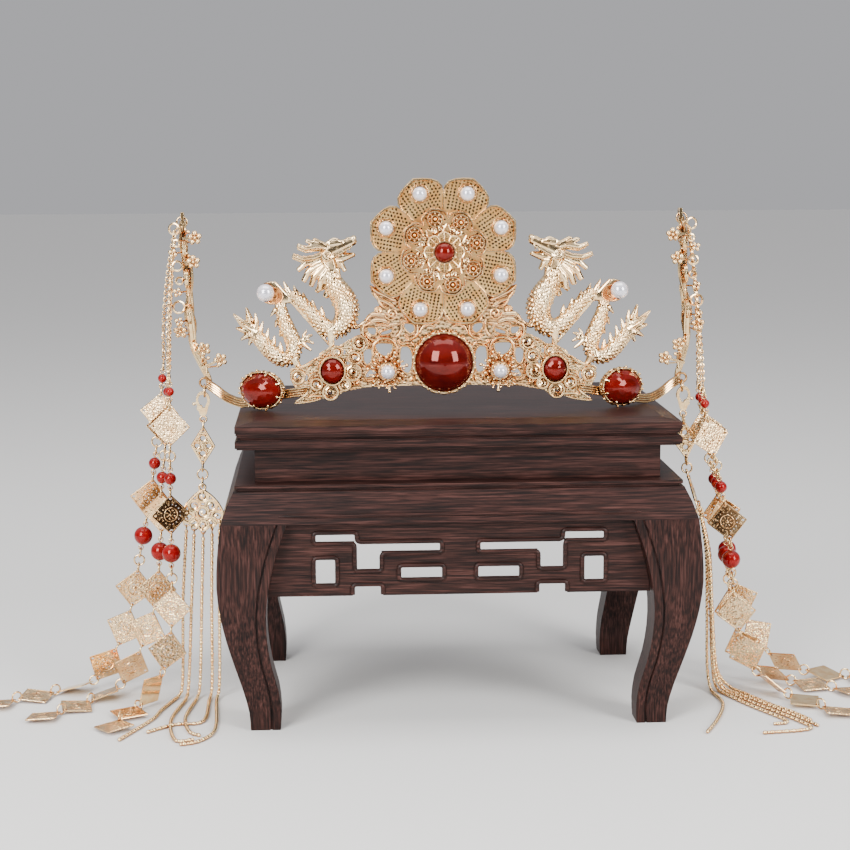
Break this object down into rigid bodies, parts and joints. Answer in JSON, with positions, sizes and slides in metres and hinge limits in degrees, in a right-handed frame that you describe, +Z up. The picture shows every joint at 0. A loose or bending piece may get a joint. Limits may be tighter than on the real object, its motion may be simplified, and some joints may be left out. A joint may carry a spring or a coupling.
{
  "type": "hair crown on a display stand",
  "caption": "Pierced flower crown with dragons, red stones and pearls, side strands of square plates and beads and fine chain tassels, set on a carved wooden display stand.",
  "frame": {"origin": "middle of the bounding box on the floor under the stand", "axes": "+X to the right seen from the front, +Y to the back, +Z up"},
  "size_m": [0.4259, 0.1578, 0.2364],
  "materials": {
    "dark_wood": "satin oiled, dark red-brown with fine straight grain",
    "pale_gold": "polished pale champagne gold plating",
    "rose_gold": "polished warm gold plating, a little rosier",
    "carnelian": "polished translucent red-brown stone",
    "pearl": "pearl lustre, creamy white"
  },
  "bodies": {
    "crown_and_stand": {"stand_top": "dark_wood", "stand_waist": "dark_wood", "stand_shelf": "dark_wood", "leg_front_left": "dark_wood", "leg_front_right": "dark_wood", "leg_back_left": "dark_wood", "leg_back_right": "dark_wood", "fret_front": "dark_wood", "fret_back": "dark_wood", "apron_left": "dark_wood", "apron_right": "dark_wood", "band": "pale_gold", "scroll_work": "rose_gold", "flower_outer": "pale_gold", "flower_inner": "rose_gold", "flower_star": "pale_gold", "flower_stone": "carnelian", "flower_pearls": "pearl", "centre_setting": "pale_gold", "centre_stone": "carnelian", "sunburst_left": "pale_gold", "sunburst_right": "pale_gold", "pearl_left": "pearl", "pearl_right": "pearl", "cloud_left": "rose_gold", "cloud_right": "rose_gold", "cloud_stone_left": "carnelian", "cloud_stone_right": "carnelian", "oval_setting_left": "pale_gold", "oval_setting_right": "pale_gold", "oval_stone_left": "carnelian", "oval_stone_right": "carnelian", "dragon_left": "pale_gold", "dragon_right": "pale_gold", "dragon_pearl_left": "pearl", "dragon_pearl_right": "pearl", "branch_left": "pale_gold", "branch_right": "pale_gold", "clasp_left": "pale_gold", "clasp_right": "pale_gold", "tassel_left": "pale_gold", "tassel_right": "pale_gold", "fan_left": "pale_gold", "fan_right": "pale_gold", "top_chains_left": "pale_gold", "top_chains_right": "pale_gold", "strand_a_left": "pale_gold", "strand_b_left": "pale_gold", "strand_c_left": "pale_gold", "strand_a_right": "pale_gold", "strand_b_right": "pale_gold", "strand_c_right": "pale_gold", "beads_left": "carnelian", "beads_right": "carnelian"},
    "lever_left": {"clasp_lever_left": "pale_gold"},
    "lever_right": {"clasp_lever_right": "pale_gold"}
  },
  "joints": [
    {"name": "lever_left_hinge", "type": "hinge", "parent": "crown_and_stand", "child": "lever_left", "pos_m": [-0.11343, -0.0058, 0.1339], "axis": [0, 1, 0], "range_deg": [0, 12], "stiffness_Nm_per_rad": 0.0004},
    {"name": "lever_right_hinge", "type": "hinge", "parent": "crown_and_stand", "child": "lever_right", "pos_m": [0.1077, -0.0058, 0.1339], "axis": [0, -1, 0], "range_deg": [0, 12], "stiffness_Nm_per_rad": 0.0004}
  ]
}
